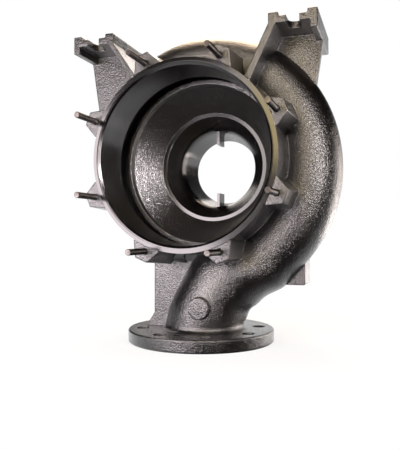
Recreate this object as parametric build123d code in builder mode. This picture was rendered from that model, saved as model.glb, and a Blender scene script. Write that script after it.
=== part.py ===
from build123d import *
from math import cos, radians, sin, tan
import os

# Pump axis: runs along Y, straight above the centre of the discharge face
axis_height = 245.0
wall = 8.0

# Register ring that takes the motor: a drum open to the front
rim_face_y = -80.0
register_radius = 115.0
register_end_y = -19.0
rim_radius = 124.0
rim_chamfer = 2.7
drum_base_radius = 127.0
drum_base_y = -18.0
groove_radius = 118.7
groove_width = 1.4
groove_depth = 1.2

# Impeller chamber behind the register: volute mouth, conical back wall, hub and suction bore
mouth_front_y = -14.0
mouth_back_y = 8.0
mouth_radius = 122.0
shell_radius = 136.0
shell_back_y = 26.0
cone_radius = 111.5
cone_y = 18.0
back_wall = 12.0
hub_radius = 80.0
hub_y = 54.5
hub_inner_radius = 75.0
hub_step = 4.0
funnel_radius = 60.8
funnel_y = 75.5
throat_radius = 57.6
throat_y = 80.5
suction_radius = 50.0
suction_face_y = 130.0

# Ribs in the suction bore, above and below the axis
bore_rib_width = 4.0
bore_rib_front_y = 80.0
bore_rib_length = 26.0
bore_rib_radius = 37.0

# Suction flange at the back
suction_flange_radius = 110.0
suction_flange_thickness = 18.0
suction_bolt_circle = 180.0
suction_bolt_count = 8
suction_hole = 18.0
suction_neck_radius = 68.0
suction_neck_fillet = 6.0

# Spiral tube: its outer radius shrinks from the throat back to the tongue
tube_y = 5.0
spiral_end_angle = -50.0
spiral_start_angle = 262.0
spiral_sections = 14
spiral_end_radius = 201.0
spiral_growth = 0.19
tube_inner_radius = 110.0
tube_half_width_start = 25.0
tube_half_width_end = 36.0
oval_points = 12

# Bend from the spiral to the duct. Inner and outer wall points as angle and distance beyond the
# spiral's own inner and outer radius, then the half width along Y
bend_stations = [
    ((-72.4, 5.4), (-60.6, 2.7), 42.0),
    ((-92.3, 17.1), (-66.7, 6.4), 47.0),
    ((-99.1, 55.0), (-70.1, 10.2), 50.0),
]

# Duct above the discharge flange: wall points as x and height above the flange, then the half width
duct_stations = [
    ((-40.0, 38.0), (66.0, 21.0), 52.0),
    ((-46.0, 19.0), (62.0, 12.0), 52.0),
]
neck_radius = 51.0
neck_fillet = 6.0

# Discharge flange
flange_radius = 100.0
flange_thickness = 17.0
discharge_radius = 40.0
core_step = 1.0
flange_bolt_circle = 160.0
flange_bolt_count = 8
flange_hole = 18.0
flange_chamfer = 1.5

# Stud bosses around the register ring, and the studs
stud_count = 8
first_stud_angle = 22.5
stud_circle_radius = 131.5
stud_radius = 4.0
stud_seat_radius = 3.8
stud_reach = 48.0
stud_depth = 16.0
stud_chamfer = 0.8
stud_clearance = 0.05
boss_face_y = -79.0
boss_inner_half_width = 18.7
boss_outer_half_width = 8.8
boss_outer_radius = 144.0
boss_apex_radius = 125.0
boss_back_y = 5.0
boss_draft = 3.0
boss_fillet = 2.0

# Feet: slotted plates with an outer wall, a radial inner wall and a web
foot_rise = 175.0
foot_inner_x = 107.0
foot_outer_x = 168.0
foot_half_length = 58.0
foot_channel_width = 36.0
foot_channel_depth = 5.0
foot_plate_thickness = 14.0
foot_wall_thickness = 9.0
foot_wall_depth = 24.0
foot_slot_width = 17.0
foot_slot_center_y = 39.5
foot_fillet = 1.5
left_rib_angle = 55.5
right_rib_angle = 49.0
foot_rib_thickness = 7.0
web_thickness = 10.0
web_low_x = 152.4
web_low_rise = 50.0

# Rib plate between the discharge flange and the casing
plate_thickness = 10.0
plate_outer_x = -68.0
plate_flare = 10.0
plate_flare_height = 18.0
plate_lip = 3.0

# Support tab under the spiral
tab_inner_x = 105.0
tab_outer_x = 143.0
tab_drop = 166.5
tab_height = 46.5
tab_front_y = 3.0
tab_back_y = 45.0
tab_fillet = 2.0

# Round blank boss on the front of the duct
blank_x = 15.0
blank_height = 32.5
blank_radius = 14.2
blank_face_y = -58.0
blank_fillet = 1.2

# How closely an edge has to match to be picked for rounding
near = 0.01

# Places worked out from the sizes above
cone_slope = (hub_y - cone_y) / (cone_radius - hub_radius)
neck_start_y = cone_y + back_wall + (cone_radius - suction_neck_radius) * cone_slope
suction_flange_y = suction_face_y - suction_flange_thickness
foot_sole_z = axis_height + foot_rise
foot_plate_z = foot_sole_z - foot_plate_thickness
foot_wall_z = foot_sole_z - foot_wall_depth
foot_center_x = (foot_inner_x + foot_outer_x) / 2
foot_sides = [(-1, left_rib_angle), (1, right_rib_angle)]
drum_bottom_z = axis_height - register_radius
tab_bottom_z = axis_height - tab_drop

pump_axis = Axis((0, 0, axis_height), (0, 1, 0))
axis_plane = Plane.XY.offset(axis_height)


def front_plane(y):
    """Plane across the pump axis at y, facing the front: X right, Z up."""
    return Plane(origin=(0, y, axis_height), x_dir=(1, 0, 0), z_dir=(0, -1, 0))


def upright_plane(y):
    """Front-facing plane at y with its origin level with the discharge face: X right, Z up."""
    return Plane(origin=(0, y, 0), x_dir=(1, 0, 0), z_dir=(0, -1, 0))


def cross_plane(inner, outer, y):
    """Plane across the flow between two wall points, x towards the outer wall."""
    center = ((inner[0] + outer[0]) / 2, y, (inner[1] + outer[1]) / 2)
    across = Vector(outer[0] - inner[0], 0, outer[1] - inner[1]).normalized()
    return Plane(origin=center, x_dir=across, z_dir=(across.Z, 0, -across.X))


def around_axis(angle, radius):
    """X and Z of a point at an angle and radius about the pump axis."""
    return (radius * cos(radians(angle)), axis_height + radius * sin(radians(angle)))


def spiral_radius(angle):
    """Outer radius of the spiral tube at an angle about the pump axis."""
    return spiral_end_radius - spiral_growth * (angle - spiral_end_angle)


def tube_stations():
    """Inner wall, outer wall, half width and y of each station from the tongue to the flange."""
    stations = []
    for i in range(spiral_sections):
        share = i / (spiral_sections - 1)
        angle = spiral_start_angle + share * (spiral_end_angle - spiral_start_angle)
        inner = around_axis(angle, tube_inner_radius)
        outer = around_axis(angle, spiral_radius(angle))
        half = tube_half_width_start + share * (tube_half_width_end - tube_half_width_start)
        stations.append((inner, outer, half, tube_y))
    descent = len(bend_stations) + len(duct_stations)
    for i, (low, high, half) in enumerate(bend_stations):
        inner = around_axis(low[0], tube_inner_radius + low[1])
        outer = around_axis(high[0], spiral_end_radius + high[1])
        stations.append((inner, outer, half, tube_y * (1 - (i + 1) / descent)))
    for i, (low, high, half) in enumerate(duct_stations):
        inner = (low[0], flange_thickness + low[1])
        outer = (high[0], flange_thickness + high[1])
        share = (len(bend_stations) + i + 1) / descent
        stations.append((inner, outer, half, tube_y * (1 - share)))
    return stations


def oval(plane, half_across, half_width):
    """Face of one oval section of the tube on its plane, starting at the outer wall."""
    turns = [radians(360 / oval_points * i) for i in range(oval_points)]
    with BuildSketch(plane) as section:
        with BuildLine():
            Spline(*[(half_across * cos(t), half_width * sin(t)) for t in turns], periodic=True)
        make_face()
    return section.sketch.faces()[0]


def tube_sections(inset, end_radius, end_levels):
    """Sections of the tube from the tongue to the discharge, set in from the outer wall."""
    faces = []
    for inner, outer, half, y in tube_stations():
        across = (Vector(*outer) - Vector(*inner)).length / 2
        faces.append(oval(cross_plane(inner, outer, y), across - inset, half - inset))
    for level in end_levels:
        plane = cross_plane((-end_radius, level), (end_radius, level), 0)
        faces.append(oval(plane, end_radius, end_radius))
    return faces


def boss_sections(angle):
    """Front and back section of the stud boss at an angle about the pump axis."""
    faces = []
    for y in (boss_face_y, boss_back_y):
        grown = (y - boss_face_y) * tan(radians(boss_draft))
        inner = boss_inner_half_width + grown
        outer = boss_outer_half_width + grown
        with BuildSketch(front_plane(y)) as section:
            with Locations(Location((0, 0), angle)):
                Polygon(
                    (boss_apex_radius - wall, -inner),
                    (boss_apex_radius, -inner),
                    (boss_outer_radius + grown, -outer),
                    (boss_outer_radius + grown, outer),
                    (boss_apex_radius, inner),
                    (boss_apex_radius - wall, inner),
                    align=None,
                )
            outermost = section.vertices().sort_by_distance((0, 0, 0))[-2:]
            fillet(outermost, boss_fillet)
        faces.append(section.sketch.faces()[0])
    return faces


with BuildPart() as volute_casing:
    # Spiral tube and discharge duct
    loft(tube_sections(0, neck_radius, (flange_thickness, flange_thickness / 2)))

    # Register drum, back wall, suction neck and suction flange, turned about the pump axis
    with BuildSketch(axis_plane) as turned:
        with BuildLine():
            Polyline(
                (0, rim_face_y),
                (rim_radius, rim_face_y),
                (drum_base_radius, drum_base_y),
                (shell_radius, mouth_front_y),
                (shell_radius, shell_back_y),
                (cone_radius, cone_y + back_wall),
                (suction_neck_radius, neck_start_y),
                (suction_neck_radius, suction_flange_y),
                (suction_flange_radius, suction_flange_y),
                (suction_flange_radius, suction_face_y),
                (0, suction_face_y),
                close=True,
            )
        make_face()
        neck_corners = turned.vertices().filter_by(lambda v: abs(v.X - suction_neck_radius) < near)
        fillet(neck_corners, suction_neck_fillet)
    revolve(axis=pump_axis)

    # Discharge flange, faired into the neck
    with BuildSketch(Plane.XY):
        Circle(flange_radius)
    extrude(amount=flange_thickness)
    neck_foot = volute_casing.edges().filter_by_position(
        Axis.Z, flange_thickness - near, flange_thickness + near
    )
    fillet(neck_foot.filter_by(GeomType.CIRCLE, reverse=True), neck_fillet)

    # Stud bosses, widening towards the volute
    for i in range(stud_count):
        loft(boss_sections(first_stud_angle + 360 / stud_count * i))

    # Feet: plate with a channelled sole and an outer wall
    with BuildSketch(upright_plane(-foot_half_length)) as foot:
        with BuildLine():
            Polyline(
                (foot_inner_x, foot_sole_z),
                (foot_center_x - foot_channel_width / 2, foot_sole_z),
                (foot_center_x - foot_channel_width / 2, foot_sole_z - foot_channel_depth),
                (foot_center_x + foot_channel_width / 2, foot_sole_z - foot_channel_depth),
                (foot_center_x + foot_channel_width / 2, foot_sole_z),
                (foot_outer_x, foot_sole_z),
                (foot_outer_x, foot_wall_z),
                (foot_outer_x - foot_wall_thickness, foot_wall_z),
                (foot_outer_x - foot_wall_thickness, foot_plate_z),
                (foot_inner_x, foot_plate_z),
                close=True,
            )
        make_face()
        fillet(foot.vertices(), foot_fillet)
        mirror(about=Plane.YZ)
    extrude(amount=-2 * foot_half_length)

    # Inner wall of each foot, down to the drum
    for side, angle in foot_sides:
        base_x, base_z = around_axis(angle, register_radius)
        span = foot_rib_thickness / sin(radians(angle))
        with BuildSketch(upright_plane(-foot_half_length)):
            with BuildLine():
                Polyline(
                    (side * foot_inner_x, foot_plate_z + foot_channel_depth),
                    (side * (foot_inner_x + span), foot_plate_z + foot_channel_depth),
                    (side * (foot_inner_x + span), foot_plate_z),
                    (side * (base_x + span / 2), base_z),
                    (side * (base_x - span / 2), base_z),
                    (side * foot_inner_x, foot_plate_z),
                    close=True,
                )
            make_face()
        extrude(amount=-2 * foot_half_length)

    # Web between the walls of each foot, in the middle plane
    for side, angle in foot_sides:
        base_x, base_z = around_axis(angle, register_radius)
        with BuildSketch(upright_plane(-web_thickness / 2)):
            with BuildLine():
                Polyline(
                    (side * (foot_inner_x + foot_rib_thickness / 2), foot_plate_z + foot_channel_depth),
                    (side * (foot_outer_x - foot_wall_thickness / 2), foot_plate_z + foot_channel_depth),
                    (side * foot_outer_x, foot_wall_z + foot_fillet),
                    (side * web_low_x, axis_height + web_low_rise),
                    (side * base_x, axis_height + web_low_rise),
                    (side * base_x, base_z),
                    close=True,
                )
            make_face()
        extrude(amount=-web_thickness)

    # Rib plate standing on the discharge flange
    with BuildSketch(upright_plane(-plate_thickness / 2)):
        with BuildLine():
            Polyline(
                (plate_outer_x - plate_flare, flange_thickness),
                (plate_outer_x - plate_flare, flange_thickness + plate_lip),
                (plate_outer_x, flange_thickness + plate_flare_height),
                (plate_outer_x, drum_bottom_z),
                (0, drum_bottom_z),
                (0, flange_thickness),
                close=True,
            )
        make_face()
    extrude(amount=-plate_thickness)

    # Support tab under the spiral
    with BuildSketch(upright_plane(tab_front_y)) as tab:
        with BuildLine():
            Polyline(
                (tab_inner_x, tab_bottom_z),
                (tab_outer_x, tab_bottom_z),
                (tab_outer_x, tab_bottom_z + tab_height),
                (tab_inner_x, tab_bottom_z + tab_height),
                close=True,
            )
        make_face()
        fillet(tab.vertices().group_by(Axis.Y)[0], tab_fillet)
    extrude(amount=tab_front_y - tab_back_y)

    # Round blank boss on the duct
    with BuildSketch(upright_plane(blank_face_y)):
        with Locations((blank_x, flange_thickness + blank_height)):
            Circle(blank_radius)
    extrude(amount=blank_face_y)
    blank_rim = volute_casing.edges().filter_by(GeomType.CIRCLE).filter_by_position(
        Axis.Y, blank_face_y - near, blank_face_y + near
    )
    fillet(blank_rim, blank_fillet)

    # Water passage: spiral channel and discharge bore
    loft(tube_sections(wall, discharge_radius + core_step, (flange_thickness,)), mode=Mode.SUBTRACT)
    with BuildSketch(Plane.XY):
        Circle(discharge_radius)
    extrude(amount=flange_thickness, mode=Mode.SUBTRACT)

    # Register bore, impeller chamber, hub and suction bore, turned about the pump axis
    with BuildSketch(axis_plane):
        with BuildLine():
            Polyline(
                (0, rim_face_y),
                (register_radius + rim_chamfer, rim_face_y),
                (register_radius, rim_face_y + rim_chamfer),
                (register_radius, register_end_y),
                (mouth_radius, mouth_front_y),
                (mouth_radius, mouth_back_y),
                (cone_radius, mouth_back_y),
                (cone_radius, cone_y),
                (hub_radius, hub_y),
                (hub_inner_radius, hub_y),
                (hub_inner_radius, hub_y + hub_step),
                (funnel_radius, funnel_y),
                (throat_radius, throat_y),
                (suction_radius, suction_face_y),
                (0, suction_face_y),
                close=True,
            )
        make_face()
    revolve(axis=pump_axis, mode=Mode.SUBTRACT)

    # Groove in the rim face
    with BuildSketch(front_plane(rim_face_y)):
        Circle(groove_radius + groove_width / 2)
        Circle(groove_radius - groove_width / 2, mode=Mode.SUBTRACT)
    extrude(amount=-groove_depth, mode=Mode.SUBTRACT)

    # Ribs in the suction bore
    for side in (1, -1):
        with BuildSketch(axis_plane.offset(side * bore_rib_radius)):
            with Locations((0, bore_rib_front_y + bore_rib_length / 2)):
                Rectangle(bore_rib_width, bore_rib_length)
        extrude(amount=side * (throat_radius - bore_rib_radius))

    # Bolt holes of both flanges
    with BuildSketch(Plane.XY):
        with PolarLocations(flange_bolt_circle / 2, flange_bolt_count, 180 / flange_bolt_count):
            Circle(flange_hole / 2)
    extrude(amount=flange_thickness, mode=Mode.SUBTRACT)
    with BuildSketch(front_plane(suction_face_y)):
        with PolarLocations(suction_bolt_circle / 2, suction_bolt_count, 180 / suction_bolt_count):
            Circle(suction_hole / 2)
    extrude(amount=suction_flange_thickness, mode=Mode.SUBTRACT)

    # Slots in the feet, open at both ends
    with BuildSketch(Plane.XY.offset(foot_sole_z)):
        for x in (-foot_center_x, foot_center_x):
            for side in (-1, 1):
                with Locations((x, side * foot_slot_center_y)):
                    Circle(foot_slot_width / 2)
                with Locations((x, side * (foot_slot_center_y + foot_half_length) / 2)):
                    Rectangle(foot_slot_width, foot_half_length - foot_slot_center_y)
    extrude(amount=-foot_plate_thickness, mode=Mode.SUBTRACT)

    # Blind holes for the studs
    with BuildSketch(front_plane(boss_face_y)):
        with PolarLocations(stud_circle_radius, stud_count, start_angle=first_stud_angle):
            Circle(stud_seat_radius + stud_clearance)
    extrude(amount=-stud_depth, mode=Mode.SUBTRACT)

    # Broken edges of the discharge flange
    flange_rims = volute_casing.edges().filter_by(GeomType.CIRCLE).filter_by(
        lambda edge: abs(edge.radius - flange_radius) < near
    )
    chamfer(flange_rims, flange_chamfer)

volute_casing.part.label = "volute_casing"

with BuildPart() as cover_studs:
    with BuildSketch(front_plane(boss_face_y + stud_depth)):
        with PolarLocations(stud_circle_radius, stud_count, start_angle=first_stud_angle):
            Circle(stud_seat_radius)
    extrude(amount=stud_depth)
    with BuildSketch(front_plane(boss_face_y)):
        with PolarLocations(stud_circle_radius, stud_count, start_angle=first_stud_angle):
            Circle(stud_radius)
    extrude(amount=stud_reach)
    chamfer(cover_studs.faces().sort_by(Axis.Y)[:stud_count].edges(), stud_chamfer)

cover_studs.part.label = "cover_studs"

os.makedirs("parts", exist_ok=True)
export_step(volute_casing.part, "parts/volute_casing.step")
export_step(cover_studs.part, "parts/cover_studs.step")
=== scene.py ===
"""Looks of a volute pump casing: black-coated cast iron with threaded steel studs, on white."""

import math

import bmesh
import bpy
from mathutils import Matrix, Vector


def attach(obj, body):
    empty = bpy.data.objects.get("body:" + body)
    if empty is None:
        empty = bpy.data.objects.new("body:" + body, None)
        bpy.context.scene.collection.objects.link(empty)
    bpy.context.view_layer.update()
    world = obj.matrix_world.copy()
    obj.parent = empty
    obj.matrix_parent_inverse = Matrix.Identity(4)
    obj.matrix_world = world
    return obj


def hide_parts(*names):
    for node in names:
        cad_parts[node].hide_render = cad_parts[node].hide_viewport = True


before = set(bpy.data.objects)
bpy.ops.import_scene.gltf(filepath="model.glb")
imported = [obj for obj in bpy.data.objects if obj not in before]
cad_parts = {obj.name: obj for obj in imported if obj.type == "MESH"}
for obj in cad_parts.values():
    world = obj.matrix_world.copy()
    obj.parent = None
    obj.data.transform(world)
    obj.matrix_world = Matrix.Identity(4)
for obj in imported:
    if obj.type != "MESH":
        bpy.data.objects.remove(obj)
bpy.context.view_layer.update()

bl_info = {
    "name": "Volute pump casing",
    "version": (1, 0, 0),
    "blender": (4, 5, 0),
    "location": "View3D > Sidebar > Casing",
    "description": "Finishes a cast pump casing: its coat, its studs and its white stage",
    "category": "Object",
}

# Places on the casting, in metres: the pump axis runs along Y at this height
AXIS_HEIGHT = 0.245
RIM_FACE_Y = -0.080
RIM_DEPTH = 0.003
RIM_RADIUS = 0.1245
REGISTER_RADIUS = 0.115
REGISTER_END_Y = -0.019
HUB_RADIUS = 0.080
HUB_Y = 0.0545
THROAT_RADIUS = 0.058
THROAT_Y = 0.0805
BOSS_FACE_Y = -0.079
SUCTION_FACE_Y = 0.130
SOLE_Z = 0.420
NEAR = 0.0004
MERGE_DISTANCE = 1e-6

# Cast skin: a fade is where something starts to show and shows fully, on its noise's scale
# Warm patches at random are a painted reflection tint, standing in for the warm light of the room
REFLECTION_TINT_FADE = (0.35, 0.7)
# Paler specks on the grain peaks are painted glints that stand in for the glitter of the coat
PAINTED_GLINT_FADE = (0.52, 0.68)
CAST_ROUGHNESS = (0.28, 0.31)
CAST_IOR = 1.42
SWELL_DEPTH = 0.0012
SWELL_STRENGTH = 0.35
EDGE_SAMPLES = 6
LACQUER = {"Coat Weight": 1.0, "Coat Roughness": 0.12, "Coat IOR": 1.72}

# Turned skin
TURNED_ROUGHNESS = (0.14, 0.2)
TURNED_IOR = 1.7
FEED_DEPTH = 0.0004
FEED_STRENGTH = 0.12
FEED_WANDER = 0.6

# Studs
STEEL_ROUGHNESS = (0.2, 0.42)
THREAD_STEPS_PER_TURN = 18
THREAD_RIDGE_SIDES = 4
ROD_SIDES = 24

# Sockets of a Mix node that mixes colours
MIX_FACTOR, MIX_FIRST, MIX_SECOND, MIX_RESULT = 0, 6, 7, 2

# Stage: the backdrop's fade is on the share of a direction that points to the back, and the
# fades on the floor are in metres
WHITE = (1, 1, 1, 1)
BACKDROP_FADE = (0.85, 1.0)
FLOOR_HALF = 4
SHADOW_FADE = (0.12, 0.45)
MIRROR_LEFT_X = -0.03
MIRROR_FADE = (-0.08, 0.06)
SENSOR_WIDTH_MM = 36
OPEN = 180

# Lamps: name, place, target, width and height, watts, colour, spread in degrees
HEART = (0, 0, AXIS_HEIGHT)
LAMPS = (
    # In front on the left: rib plate and neck, left web, hub, front of the flange
    ("left_box", (-0.39, -0.66, 0.245), (-0.1, 0, 0.245), (0.48, 0.39), 6.3, "fff2f6", OPEN),
    ("left_high_card", (-0.56, -0.68, 0.70), (-0.16, -0.06, 0.4), (0.24, 0.16), 0.8, "fff4f2",
     OPEN),
    ("hub_card", (-0.105, -0.68, 0.36), (0.06, 0.05, 0.26), (0.08, 0.32), 0.5, "fff6f6", OPEN),
    ("low_box", (0.0, -0.5, 0.05), (0.05, -0.06, 0.04), (0.2, 0.09), 0.6, "fff2f6", OPEN),
    # On the right: edge of the flange, right foot, duct, and a grid that lights the chamber
    ("right_strip", (0.45, 0.40, 0.04), (0.08, -0.02, 0.03), (0.3, 0.07), 0.7, "fff2ea", OPEN),
    ("warm_card", (0.03, -0.68, 0.48), (0.1, 0, 0.35), (0.17, 0.34), 1.0, "ffe6a8", OPEN),
    ("right_box", (0.46, -0.48, 0.33), (0.19, -0.03, 0.21), (0.2, 0.3), 3.1, "fff4f0", OPEN),
    ("inner_box", (0.30, -0.29, 0.39), (-0.12, 0.03, 0.21), (0.13, 0.13), 0.115, "fff6f8", 18),
    # From above and behind: general light and bright outlines
    ("high_box", (0.13, -0.56, 0.73), HEART, (0.28, 0.2), 1.5, "fff0e0", OPEN),
    ("right_back_box", (0.85, 0.48, 0.22), HEART, (0.6, 0.5), 4.6, "fff2ea", OPEN),
    ("left_back_box", (-0.39, 0.67, 0.77), HEART, (0.8, 0.45), 4.5, "fff6f0", OPEN),
    ("top_box", (-0.05, 0.3, 1.127), HEART, (0.6, 0.6), 11, "ffe4c8", OPEN),
)


def linear(hex_color):
    """Linear colour of an sRGB hex value."""
    parts = [int(hex_color[i:i + 2], 16) / 255 for i in (0, 2, 4)]
    return tuple(p / 12.92 if p <= 0.04045 else ((p + 0.055) / 1.055) ** 2.4 for p in parts)


def add(tree, kind, values=None, links=None, **settings):
    """Adds a node with its settings, its socket values and its links."""
    made = tree.nodes.new(kind)
    for key, value in settings.items():
        setattr(made, key, value)
    for key, value in (values or {}).items():
        made.inputs[key].default_value = value
    for key, socket in (links or {}).items():
        tree.links.new(socket, made.inputs[key])
    return made


def new_material(name):
    """An empty node material and its tree."""
    material = bpy.data.materials.new(name)
    material.use_nodes = True
    material.node_tree.nodes.clear()
    return material, material.node_tree


def rough_cast_coat(settings):
    """Iron as it left the sand mould, under a black dip coat.

    The skin keeps the grain of the sand and is rather dull, and the coat over it is sharp and
    glossy, so it glitters. Paler specks on the grain are painted glints, and warm patches are a
    painted reflection tint.
    """
    material, tree = new_material("Dip-coated sand-cast iron")
    place = add(tree, "ShaderNodeTexCoord").outputs["Object"]
    # Sand grit is about 0.3 mm and is drawn at 1.4 mm, as coarse as it needs to show
    grit = add(tree, "ShaderNodeTexNoise", {"Scale": 1 / settings.grit, "Detail": 1.0},
               {"Vector": place})
    swell = add(tree, "ShaderNodeTexNoise", {"Scale": 1 / settings.swell, "Detail": 2.0},
                {"Vector": place})
    patches = add(tree, "ShaderNodeTexNoise", {"Scale": 1 / settings.patch, "Detail": 3.0},
                  {"Vector": place})
    # Warm patches at random: a painted reflection tint of the room
    tint = add(tree, "ShaderNodeValToRGB", links={"Fac": patches.outputs["Fac"]})
    # Paler specks where the grain stands highest: painted glints of the glossy coat
    painted_glints = add(tree, "ShaderNodeValToRGB", links={"Fac": grit.outputs["Fac"]})
    for ramp, fade, colors in (
            (tint, REFLECTION_TINT_FADE, (settings.coat_color, settings.painted_reflection_tint)),
            (painted_glints, PAINTED_GLINT_FADE, ((0, 0, 0), (1, 1, 1)))):
        for stop, position, color in zip(ramp.color_ramp.elements, fade, colors):
            stop.position = position
            stop.color = (*color, 1)
    skin_color = add(tree, "ShaderNodeMix", {MIX_SECOND: (*settings.painted_glint_color, 1)},
                     {MIX_FACTOR: painted_glints.outputs["Color"], MIX_FIRST: tint.outputs["Color"]},
                     data_type="RGBA")
    edge = add(tree, "ShaderNodeBevel", {"Radius": settings.edge_radius}, samples=EDGE_SAMPLES)
    waves = add(tree, "ShaderNodeBump", {"Strength": SWELL_STRENGTH, "Distance": SWELL_DEPTH},
                {"Height": swell.outputs["Fac"], "Normal": edge.outputs["Normal"]})
    bump = add(tree, "ShaderNodeBump", {"Strength": 1.0, "Distance": settings.grit_depth},
               {"Height": grit.outputs["Fac"], "Normal": waves.outputs["Normal"]})
    smooth, dull = CAST_ROUGHNESS
    rough = add(tree, "ShaderNodeMapRange", {"To Min": smooth, "To Max": dull},
                {"Value": patches.outputs["Fac"]})
    skin = add(tree, "ShaderNodeBsdfPrincipled", {"IOR": CAST_IOR, **LACQUER},
               {"Base Color": skin_color.outputs[MIX_RESULT], "Normal": bump.outputs["Normal"],
                "Coat Normal": bump.outputs["Normal"], "Roughness": rough.outputs["Result"]})
    add(tree, "ShaderNodeOutputMaterial", links={"Surface": skin.outputs["BSDF"]})
    return material


def machined_coat(settings):
    """Turned iron under the same coat: smooth and glossy, with the faint rings of the tool."""
    material, tree = new_material("Dip-coated turned iron")
    place = add(tree, "ShaderNodeTexCoord").outputs["Object"]
    centred = add(tree, "ShaderNodeMapping", {"Location": (0, 0, -AXIS_HEIGHT)},
                  {"Vector": place})
    # Feed marks of the tool are 0.2 mm apart and drawn at 1.2 mm, as coarse as they need to show
    feed = add(tree, "ShaderNodeTexWave",
               {"Scale": math.pi / (10 * settings.feed_mark), "Distortion": FEED_WANDER},
               {"Vector": centred.outputs["Vector"]}, wave_type="BANDS", bands_direction="Y")
    cloud = add(tree, "ShaderNodeTexNoise", {"Scale": 1 / settings.swell, "Detail": 3.0},
                {"Vector": place})
    bump = add(tree, "ShaderNodeBump", {"Strength": FEED_STRENGTH, "Distance": FEED_DEPTH},
               {"Height": feed.outputs["Fac"]})
    smooth, dull = TURNED_ROUGHNESS
    rough = add(tree, "ShaderNodeMapRange", {"To Min": smooth, "To Max": dull},
                {"Value": cloud.outputs["Fac"]})
    skin = add(tree, "ShaderNodeBsdfPrincipled",
               {"Base Color": (*settings.coat_color, 1), "IOR": TURNED_IOR},
               {"Normal": bump.outputs["Normal"], "Roughness": rough.outputs["Result"]})
    add(tree, "ShaderNodeOutputMaterial", links={"Surface": skin.outputs["BSDF"]})
    return material


def rolled_steel(settings):
    """Rolled steel stud: grey metal with a sheen, dull and dark where a film of oil lies."""
    material, tree = new_material("Rolled thread steel")
    place = add(tree, "ShaderNodeTexCoord").outputs["Object"]
    film = add(tree, "ShaderNodeTexNoise", {"Scale": 1 / settings.film, "Detail": 3.0},
               {"Vector": place})
    color = add(tree, "ShaderNodeMix",
                {MIX_FIRST: (*settings.steel_color, 1), MIX_SECOND: (*settings.film_color, 1)},
                {MIX_FACTOR: film.outputs["Fac"]}, data_type="RGBA")
    smooth, dull = STEEL_ROUGHNESS
    rough = add(tree, "ShaderNodeMapRange", {"To Min": smooth, "To Max": dull},
                {"Value": film.outputs["Fac"]})
    skin = add(tree, "ShaderNodeBsdfPrincipled", {"Metallic": 1.0},
               {"Base Color": color.outputs[MIX_RESULT], "Roughness": rough.outputs["Result"]})
    add(tree, "ShaderNodeOutputMaterial", links={"Surface": skin.outputs["BSDF"]})
    return material


def is_machined(face):
    """True for a face that was turned or milled after casting."""
    center = face.calc_center_median()
    height = center.z - AXIS_HEIGHT
    radius = math.hypot(center.x, height)
    outward = face.normal.x * center.x + face.normal.z * height > radius / 2
    rim = abs(center.y - RIM_FACE_Y) < RIM_DEPTH and radius < RIM_RADIUS
    register_bore = radius < REGISTER_RADIUS + NEAR and center.y < REGISTER_END_Y
    hub = radius < HUB_RADIUS + NEAR and HUB_Y - NEAR < center.y < THROAT_Y and not outward
    throat = radius < THROAT_RADIUS and center.y > THROAT_Y - NEAR
    flange_face = center.z < NEAR or center.y > SUCTION_FACE_Y - NEAR
    sole = center.z > SOLE_Z - NEAR
    return rim or register_bore or hub or throat or flange_face or sole


class CastingSettings(bpy.types.PropertyGroup):
    """Sizes and colours of the coat on the casting"""

    coat_color: bpy.props.FloatVectorProperty(
        name="Coat", description="Colour of the black dip coat", subtype="COLOR",
        min=0, max=1, default=linear("050404"))
    # Warm colour in random patches: a painted reflection tint of the room
    painted_reflection_tint: bpy.props.FloatVectorProperty(
        name="Painted reflection tint", description="Warm colour of the coat where it lies thin", subtype="COLOR",
        min=0, max=1, default=linear("0b0706"))
    # Paler specks on the grain peaks: painted glints of the glossy coat
    painted_glint_color: bpy.props.FloatVectorProperty(
        name="Painted glints", description="Paler colour of the sand grit under the coat",
        subtype="COLOR", min=0, max=1, default=linear("0d0c0c"))
    grit: bpy.props.FloatProperty(
        name="Grit", description="Grain that the sand mould leaves in the skin", unit="LENGTH",
        precision=5, default=0.0014)
    grit_depth: bpy.props.FloatProperty(
        name="Grit depth", description="Height of the grain", unit="LENGTH", precision=5,
        default=0.0007)
    swell: bpy.props.FloatProperty(
        name="Swell", description="Length of the soft waves in the cast skin", unit="LENGTH",
        precision=4, default=0.012)
    # The same patches carry the painted reflection tint and the change in roughness
    patch: bpy.props.FloatProperty(
        name="Patch", description="Width of the thin and thick patches of the coat",
        unit="LENGTH", precision=4, default=0.05)
    edge_radius: bpy.props.FloatProperty(
        name="Edge radius", description="Rounding of the cast edges", unit="LENGTH",
        precision=4, default=0.0025)
    feed_mark: bpy.props.FloatProperty(
        name="Feed mark", description="Distance between the rings of the lathe tool",
        unit="LENGTH", precision=5, default=0.0012)
    crease: bpy.props.FloatProperty(
        name="Crease", description="Edges sharper than this stay sharp", subtype="ANGLE",
        default=math.radians(28))


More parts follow.
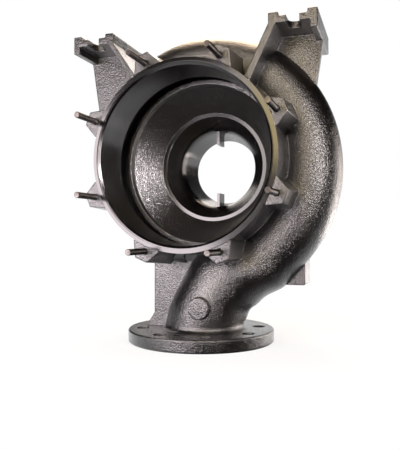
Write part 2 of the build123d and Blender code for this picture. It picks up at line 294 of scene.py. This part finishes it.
class StudSettings(bpy.types.PropertyGroup):
    """Sizes and colours of the studs"""

    count: bpy.props.IntProperty(
        name="Studs", description="Studs around the register ring", min=3, default=8)
    circle_radius: bpy.props.FloatProperty(
        name="Circle radius", description="Radius of the stud circle", unit="LENGTH",
        precision=4, default=0.1315)
    first_angle: bpy.props.FloatProperty(
        name="First angle", description="Angle of the first stud from the right",
        subtype="ANGLE", default=math.radians(22.5))
    radius: bpy.props.FloatProperty(
        name="Thread radius", description="Outer radius of the thread", unit="LENGTH",
        precision=5, default=0.004)
    pitch: bpy.props.FloatProperty(
        name="Pitch", description="Distance between thread crests", unit="LENGTH",
        precision=5, default=0.00125)
    reach: bpy.props.FloatProperty(
        name="Reach", description="Length that stands out of the boss", unit="LENGTH",
        precision=5, default=0.0473)
    seat: bpy.props.FloatProperty(
        name="Seat", description="Length made inside the boss", unit="LENGTH",
        precision=4, default=0.004)
    film: bpy.props.FloatProperty(
        name="Film", description="Width of the oily patches on the steel", unit="LENGTH",
        precision=4, default=0.005)
    steel_color: bpy.props.FloatVectorProperty(
        name="Steel", description="Colour of the clean steel", subtype="COLOR",
        min=0, max=1, default=linear("6e6a68"))
    film_color: bpy.props.FloatVectorProperty(
        name="Oil film", description="Colour of the steel under oil", subtype="COLOR",
        min=0, max=1, default=linear("1a1817"))


class StageSettings(bpy.types.PropertyGroup):
    """Camera, floor and background of the stage"""

    eye: bpy.props.FloatVectorProperty(
        name="Camera", description="Place of the camera", subtype="TRANSLATION", unit="LENGTH",
        default=(0.2557, -0.7436, 0.1455))
    yaw: bpy.props.FloatProperty(
        name="Yaw", description="Turn of the camera to the left", subtype="ANGLE",
        default=math.radians(19.10))
    pitch: bpy.props.FloatProperty(
        name="Pitch", description="Tilt of the camera upwards", subtype="ANGLE",
        default=math.radians(0.93))
    lens: bpy.props.FloatProperty(
        name="Lens", description="Focal length in millimetres", unit="CAMERA", default=45.28)
    ambient: bpy.props.FloatProperty(
        name="Ambient", description="Strength of the light from all round", default=0.04)
    dim: bpy.props.FloatProperty(
        name="Dim", description="Brightness of the studio in front, as the object mirrors it",
        default=0.004)
    floor_color: bpy.props.FloatVectorProperty(
        name="Floor", description="Colour of the floor", subtype="COLOR", min=0, max=1,
        default=(0.85, 0.85, 0.85))
    shadow: bpy.props.FloatProperty(
        name="Shadow", description="Share of the floor's look that takes the shadow",
        subtype="FACTOR", min=0, max=1, default=0.2)


class CASING_OT_coat_casting(bpy.types.Operator):
    """Gives the casting its coat: gritty where it was cast, smooth where it was machined"""

    bl_idname = "casing.coat_casting"
    bl_label = "Coat casting"

    def execute(self, context):
        settings = context.scene.casing_coat
        mesh = bpy.data.meshes.new("casting")
        casting = bpy.data.objects.new("casting", mesh)
        context.scene.collection.objects.link(casting)
        shell = bmesh.new()
        shell.from_mesh(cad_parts["volute_casing"].data)
        bmesh.ops.remove_doubles(shell, verts=shell.verts, dist=MERGE_DISTANCE)
        for face in shell.faces:
            face.smooth = True
            face.material_index = int(is_machined(face))
        for edge in shell.edges:
            edge.smooth = edge.is_manifold and edge.calc_face_angle() < settings.crease
        shell.to_mesh(mesh)
        shell.free()
        # Stored normals, if there are any, give way to the smooth faces and sharp edges
        if "custom_normal" in mesh.attributes:
            mesh.attributes.remove(mesh.attributes["custom_normal"])
        mesh.materials.append(rough_cast_coat(settings))
        mesh.materials.append(machined_coat(settings))
        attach(casting, "root")
        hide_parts("volute_casing")
        return {"FINISHED"}


def stud_tree(material):
    """Node tree of the threaded studs on their circle, pointing to the front."""
    tree = bpy.data.node_groups.new("Threaded studs", "GeometryNodeTree")
    tree.interface.new_socket("Count", in_out="INPUT", socket_type="NodeSocketInt")
    for name in ("Circle Radius", "First Angle", "Radius", "Pitch", "Length", "Seat"):
        tree.interface.new_socket(name, in_out="INPUT", socket_type="NodeSocketFloat")
    tree.interface.new_socket("Geometry", in_out="OUTPUT", socket_type="NodeSocketGeometry")
    given = add(tree, "NodeGroupInput").outputs

    half_pitch = add(tree, "ShaderNodeMath", {1: 0.5}, {0: given["Pitch"]},
                     operation="MULTIPLY").outputs[0]
    core = add(tree, "ShaderNodeMath", links={0: given["Radius"], 1: half_pitch},
               operation="SUBTRACT").outputs[0]
    turns = add(tree, "ShaderNodeMath", links={0: given["Length"], 1: given["Pitch"]},
                operation="DIVIDE").outputs[0]
    middle = add(tree, "ShaderNodeMath", {1: 0.5}, {0: given["Length"]},
                 operation="MULTIPLY").outputs[0]

    # One stud, upright: a ridge that winds round a rod
    helix = add(tree, "GeometryNodeCurveSpiral", {"Resolution": THREAD_STEPS_PER_TURN},
                {"Rotations": turns, "Start Radius": core, "End Radius": core,
                 "Height": given["Length"]})
    upright = add(tree, "GeometryNodeSetCurveNormal", links={"Curve": helix.outputs["Curve"]},
                  mode="Z_UP")
    ridge = add(tree, "GeometryNodeCurvePrimitiveCircle", {"Resolution": THREAD_RIDGE_SIDES},
                {"Radius": half_pitch})
    thread = add(tree, "GeometryNodeCurveToMesh", {"Fill Caps": True},
                 {"Curve": upright.outputs["Curve"], "Profile Curve": ridge.outputs["Curve"]})
    rod = add(tree, "GeometryNodeMeshCylinder", {"Vertices": ROD_SIDES},
              {"Radius": core, "Depth": given["Length"]})
    lift = add(tree, "ShaderNodeCombineXYZ", links={"Z": middle})
    raised = add(tree, "GeometryNodeTransform",
                 links={"Geometry": rod.outputs["Mesh"], "Translation": lift.outputs["Vector"]})
    stud = add(tree, "GeometryNodeJoinGeometry")
    tree.links.new(thread.outputs["Mesh"], stud.inputs["Geometry"])
    tree.links.new(raised.outputs["Geometry"], stud.inputs["Geometry"])

    # The circle of studs, turned to face the front and set back into the bosses
    circle = add(tree, "GeometryNodeMeshCircle",
                 links={"Vertices": given["Count"], "Radius": given["Circle Radius"]})
    first = add(tree, "ShaderNodeCombineXYZ", links={"Z": given["First Angle"]})
    turned = add(tree, "GeometryNodeTransform",
                 links={"Geometry": circle.outputs["Mesh"], "Rotation": first.outputs["Vector"]})
    ring = add(tree, "GeometryNodeInstanceOnPoints",
               links={"Points": turned.outputs["Geometry"], "Instance": stud.outputs["Geometry"]})
    back = add(tree, "ShaderNodeMath", {1: BOSS_FACE_Y}, {0: given["Seat"]}, operation="ADD")
    place = add(tree, "ShaderNodeCombineXYZ", {"Z": AXIS_HEIGHT}, {"Y": back.outputs[0]})
    facing = add(tree, "GeometryNodeTransform", {"Rotation": (math.radians(90), 0, 0)},
                 {"Geometry": ring.outputs["Instances"], "Translation": place.outputs["Vector"]})
    whole = add(tree, "GeometryNodeRealizeInstances",
                links={"Geometry": facing.outputs["Geometry"]})
    steel = add(tree, "GeometryNodeSetMaterial", {"Material": material},
                {"Geometry": whole.outputs["Geometry"]})
    add(tree, "NodeGroupOutput", links={"Geometry": steel.outputs["Geometry"]})
    return tree


class CASING_OT_thread_studs(bpy.types.Operator):
    """Makes the threaded studs of the register ring"""

    bl_idname = "casing.thread_studs"
    bl_label = "Thread studs"

    def execute(self, context):
        settings = context.scene.casing_studs
        studs = bpy.data.objects.new("studs", bpy.data.meshes.new("studs"))
        context.scene.collection.objects.link(studs)
        tree = stud_tree(rolled_steel(settings))
        inputs = {"Count": settings.count, "Circle Radius": settings.circle_radius,
                  "First Angle": settings.first_angle, "Radius": settings.radius,
                  "Pitch": settings.pitch, "Length": settings.reach + settings.seat,
                  "Seat": settings.seat}
        maker = studs.modifiers.new("Threaded studs", "NODES")
        maker.node_group = tree
        for item in tree.interface.items_tree:
            if item.in_out == "INPUT":
                maker[item.identifier] = inputs[item.name]
        grown = studs.evaluated_get(context.evaluated_depsgraph_get())
        studs.data = bpy.data.meshes.new_from_object(grown)
        studs.modifiers.clear()
        if not studs.data.polygons:
            raise RuntimeError("the studs came out empty")
        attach(studs, "root")
        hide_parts("cover_studs")
        return {"FINISHED"}


def by_ray(tree, camera_look, mirror_look, lit_look):
    """One look for the camera, one for reflections and glass, and one that lights the object."""
    path = add(tree, "ShaderNodeLightPath").outputs
    shiny = add(tree, "ShaderNodeMath", operation="MAXIMUM",
                links={0: path["Is Glossy Ray"], 1: path["Is Transmission Ray"]})
    unseen = add(tree, "ShaderNodeMixShader",
                 links={0: shiny.outputs[0], 1: lit_look, 2: mirror_look})
    return add(tree, "ShaderNodeMixShader", links={
        0: path["Is Camera Ray"], 1: unseen.outputs["Shader"], 2: camera_look}).outputs["Shader"]


def white_studio(settings):
    """World that the camera sees white: in reflections, white behind and dim in front."""
    world = bpy.data.worlds.new("White studio")
    world.use_nodes = True
    tree = world.node_tree
    tree.nodes.clear()
    seen = add(tree, "ShaderNodeBackground", {"Color": WHITE, "Strength": 1.0})
    lit = add(tree, "ShaderNodeBackground", {"Color": WHITE, "Strength": settings.ambient})
    direction = add(tree, "ShaderNodeTexCoord").outputs["Generated"]
    way = add(tree, "ShaderNodeSeparateXYZ", links={0: direction})
    depth = add(tree, "ShaderNodeMapRange", {
        "From Min": BACKDROP_FADE[0], "From Max": BACKDROP_FADE[1],
        "To Min": settings.dim, "To Max": 1.0},
        {"Value": way.outputs["Y"]}, interpolation_type="SMOOTHSTEP")
    room = add(tree, "ShaderNodeBackground", {"Color": WHITE},
               {"Strength": depth.outputs["Result"]})
    add(tree, "ShaderNodeOutputWorld", links={"Surface": by_ray(
        tree, seen.outputs["Background"], room.outputs["Background"],
        lit.outputs["Background"])})
    return world


def white_paper(settings):
    """White paper floor that keeps a faint shadow close to the object."""
    material, tree = new_material("White paper floor")
    paper = add(tree, "ShaderNodeBsdfDiffuse", {"Color": (*settings.floor_color, 1)})
    glow = add(tree, "ShaderNodeEmission", {"Strength": 1.0})
    place = add(tree, "ShaderNodeTexCoord").outputs["Object"]
    away = add(tree, "ShaderNodeVectorMath", links={0: place}, operation="LENGTH")
    share = add(tree, "ShaderNodeMapRange", {
        "From Min": SHADOW_FADE[0], "From Max": SHADOW_FADE[1],
        "To Min": settings.shadow, "To Max": 0.0},
        {"Value": away.outputs["Value"]}, interpolation_type="SMOOTHSTEP")
    shaded = add(tree, "ShaderNodeMixShader", links={
        0: share.outputs["Result"], 1: glow.outputs["Emission"], 2: paper.outputs["BSDF"]})
    # In reflections the floor is white behind the object and on its left, and dim elsewhere
    way = add(tree, "ShaderNodeSeparateXYZ", links={0: place})
    left = add(tree, "ShaderNodeMath", {0: MIRROR_LEFT_X}, {1: way.outputs["X"]},
               operation="SUBTRACT")
    outside = add(tree, "ShaderNodeMath", links={0: left.outputs[0], 1: way.outputs["Y"]},
                  operation="MAXIMUM")
    depth = add(tree, "ShaderNodeMapRange", {
        "From Min": MIRROR_FADE[0], "From Max": MIRROR_FADE[1],
        "To Min": settings.dim, "To Max": 1.0},
        {"Value": outside.outputs[0]}, interpolation_type="SMOOTHSTEP")
    room = add(tree, "ShaderNodeEmission", links={"Strength": depth.outputs["Result"]})
    add(tree, "ShaderNodeOutputMaterial", links={"Surface": by_ray(
        tree, shaded.outputs["Shader"], room.outputs["Emission"], paper.outputs["BSDF"])})
    return material


def soft_box(name, place, target, size, power, color, spread):
    """A rectangular studio lamp that points at a target; a grid on it narrows its spread."""
    lamp = bpy.data.lights.new(name, "AREA")
    lamp.shape = "RECTANGLE"
    lamp.size, lamp.size_y = size
    lamp.energy = power
    lamp.spread = math.radians(spread)
    lamp.color = linear(color)
    holder = bpy.data.objects.new(name, lamp)
    holder.visible_camera = False
    holder.location = place
    ahead = Vector(target) - Vector(place)
    holder.rotation_euler = ahead.to_track_quat("-Z", "Y").to_euler()
    return holder


def standing_camera(settings):
    """The camera at its place, turned by its yaw and pitch."""
    eye = bpy.data.cameras.new("camera")
    eye.lens = settings.lens
    eye.sensor_width = SENSOR_WIDTH_MM
    camera = bpy.data.objects.new("camera", eye)
    yaw, pitch = settings.yaw, settings.pitch
    ahead = Vector((-math.sin(yaw) * math.cos(pitch), math.cos(yaw) * math.cos(pitch),
                    math.sin(pitch)))
    right = Vector((math.cos(yaw), math.sin(yaw), 0))
    camera.matrix_world = Matrix.Translation(settings.eye) @ Matrix(
        (right, right.cross(ahead), -ahead)).transposed().to_4x4()
    return camera


class CASING_OT_set_stage(bpy.types.Operator):
    """Sets the white floor, the lamps and the camera"""

    bl_idname = "casing.set_stage"
    bl_label = "Set stage"

    def execute(self, context):
        scene = context.scene
        settings = scene.casing_stage
        scene.view_settings.view_transform = "Standard"
        scene.world = white_studio(settings)

        floor_mesh = bpy.data.meshes.new("floor")
        corners = [(x * FLOOR_HALF, y * FLOOR_HALF, 0)
                   for x, y in ((-1, -1), (1, -1), (1, 1), (-1, 1))]
        floor_mesh.from_pydata(corners, [], [(0, 1, 2, 3)])
        floor_mesh.materials.append(white_paper(settings))
        floor = bpy.data.objects.new("floor", floor_mesh)
        scene.collection.objects.link(floor)

        for lamp in LAMPS:
            scene.collection.objects.link(soft_box(*lamp))

        camera = standing_camera(settings)
        scene.collection.objects.link(camera)
        scene.camera = camera
        return {"FINISHED"}


class CASING_PT_panel(bpy.types.Panel):
    """Lists the steps that finish the casing"""

    bl_idname = "CASING_PT_panel"
    bl_label = "Volute pump casing"
    bl_space_type = "VIEW_3D"
    bl_region_type = "UI"
    bl_category = "Casing"

    def draw(self, context):
        for step in STEPS:
            self.layout.operator(step.bl_idname)
        for group in GROUPS:
            settings = getattr(context.scene, group)
            for key in settings.bl_rna.properties.keys():
                if key not in ("rna_type", "name"):
                    self.layout.prop(settings, key)


STEPS = (CASING_OT_coat_casting, CASING_OT_thread_studs, CASING_OT_set_stage)
GROUPS = {"casing_coat": CastingSettings, "casing_studs": StudSettings,
          "casing_stage": StageSettings}


def register():
    for kind in (*GROUPS.values(), *STEPS, CASING_PT_panel):
        bpy.utils.register_class(kind)
    for name, kind in GROUPS.items():
        setattr(bpy.types.Scene, name, bpy.props.PointerProperty(type=kind))


def unregister():
    for name in GROUPS:
        delattr(bpy.types.Scene, name)
    for kind in (CASING_PT_panel, *reversed(STEPS), *reversed(tuple(GROUPS.values()))):
        bpy.utils.unregister_class(kind)


def main():
    register()
    bpy.ops.casing.coat_casting()
    bpy.ops.casing.thread_studs()
    bpy.ops.casing.set_stage()


if __name__ == "__main__":
    main()
